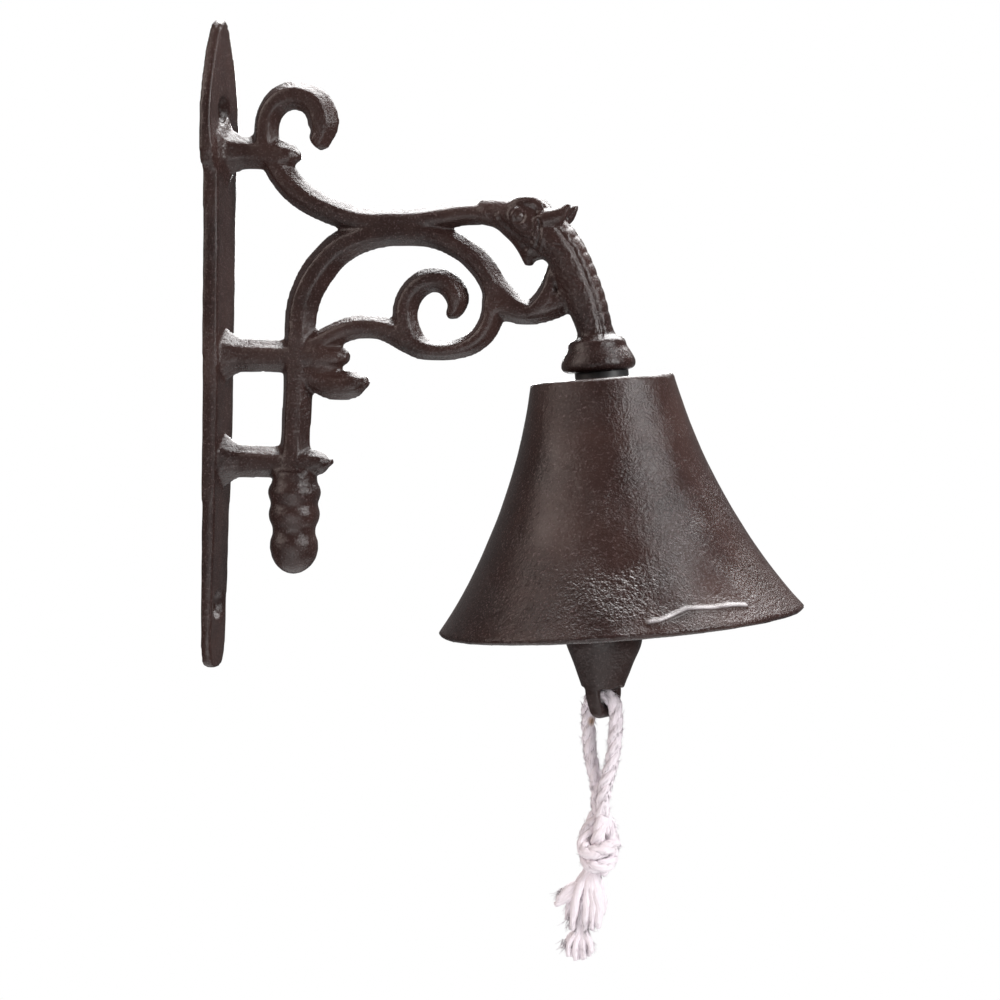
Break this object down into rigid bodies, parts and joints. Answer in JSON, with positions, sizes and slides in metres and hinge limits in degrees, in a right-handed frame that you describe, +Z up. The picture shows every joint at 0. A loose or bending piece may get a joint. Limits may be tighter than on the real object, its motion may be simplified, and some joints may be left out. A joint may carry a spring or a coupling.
{
  "type": "wall mounted bell",
  "caption": "Cast iron bell clamped under a scrollwork wall bracket with an animal head, with a hanging clapper and a knotted rope pull.",
  "frame": {"origin": "middle of the two wall screws, on the plate's back face", "axes": "+X out of the wall along the arm, +Z up, Y across the scrollwork"},
  "size_m": [0.2045, 0.12, 0.3116],
  "materials": {
    "brown_iron": "dark brown paint over sand-cast iron, satin",
    "black_steel": "black, satin",
    "zinc_steel": "zinc plated, satin",
    "cotton": "undyed twisted cotton, matte"
  },
  "bodies": {
    "frame": {"bracket": "brown_iron", "crown_spacer": "black_steel", "bell": "brown_iron", "crown_washer": "zinc_steel", "lock_nut": "zinc_steel", "eye_bolt": "zinc_steel"},
    "link": {"clapper_link": "zinc_steel"},
    "clapper": {"clapper": "brown_iron"},
    "rope": {"rope_leg_out": "cotton", "rope_leg_in": "cotton", "rope_knot": "cotton", "rope_tail": "cotton"}
  },
  "joints": [
    {"name": "link_swing", "type": "hinge", "parent": "frame", "child": "link", "pos_m": [0.13915, 0, -0.03207], "axis": [1, 0, 0], "range_deg": [-18, 18]},
    {"name": "clapper_swing", "type": "hinge", "parent": "link", "child": "clapper", "pos_m": [0.13915, 0, -0.04627], "axis": [0, 1, 0], "range_deg": [-49, 36]},
    {"name": "rope_swing", "type": "hinge", "parent": "clapper", "child": "rope", "pos_m": [0.13915, 0, -0.1072], "axis": [0.9063, -0.4226, 0], "range_deg": [-40, 40]}
  ]
}
